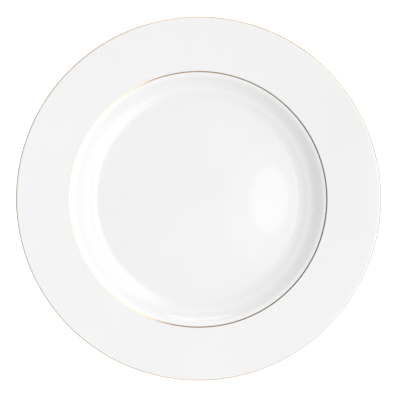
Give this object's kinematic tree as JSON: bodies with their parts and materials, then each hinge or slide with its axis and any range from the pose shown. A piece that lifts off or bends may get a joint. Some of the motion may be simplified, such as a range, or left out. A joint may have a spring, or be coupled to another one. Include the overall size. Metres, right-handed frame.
{
  "type": "dinner plate",
  "caption": "Round china dinner plate with a wide rising rim, a shallow well, a foot ring, a gold line round the lip and a thin gold line on the shoulder.",
  "frame": {"origin": "the centre of the foot ring, on the table the plate stands on", "axes": "+Z is the plate's axis, up out of its face; +X and +Y lie on the table, and the plate is round, so they have no front"},
  "size_m": [0.27, 0.27, 0.0242],
  "materials": {
    "bone_china": "fired, unglazed bone china, matt and slightly warm, ground flat on the foot ring land",
    "clear_glaze": "high-gloss clear glaze over white china, neutral white",
    "burnished_gold": "hand-banded burnished gold, satin to bright"
  },
  "bodies": {
    "root": {"bone_china_body": "bone_china", "face_glaze": "clear_glaze", "base_glaze": "clear_glaze", "edge_gold_line": "burnished_gold", "well_gold_line": "burnished_gold"}
  },
  "joints": []
}
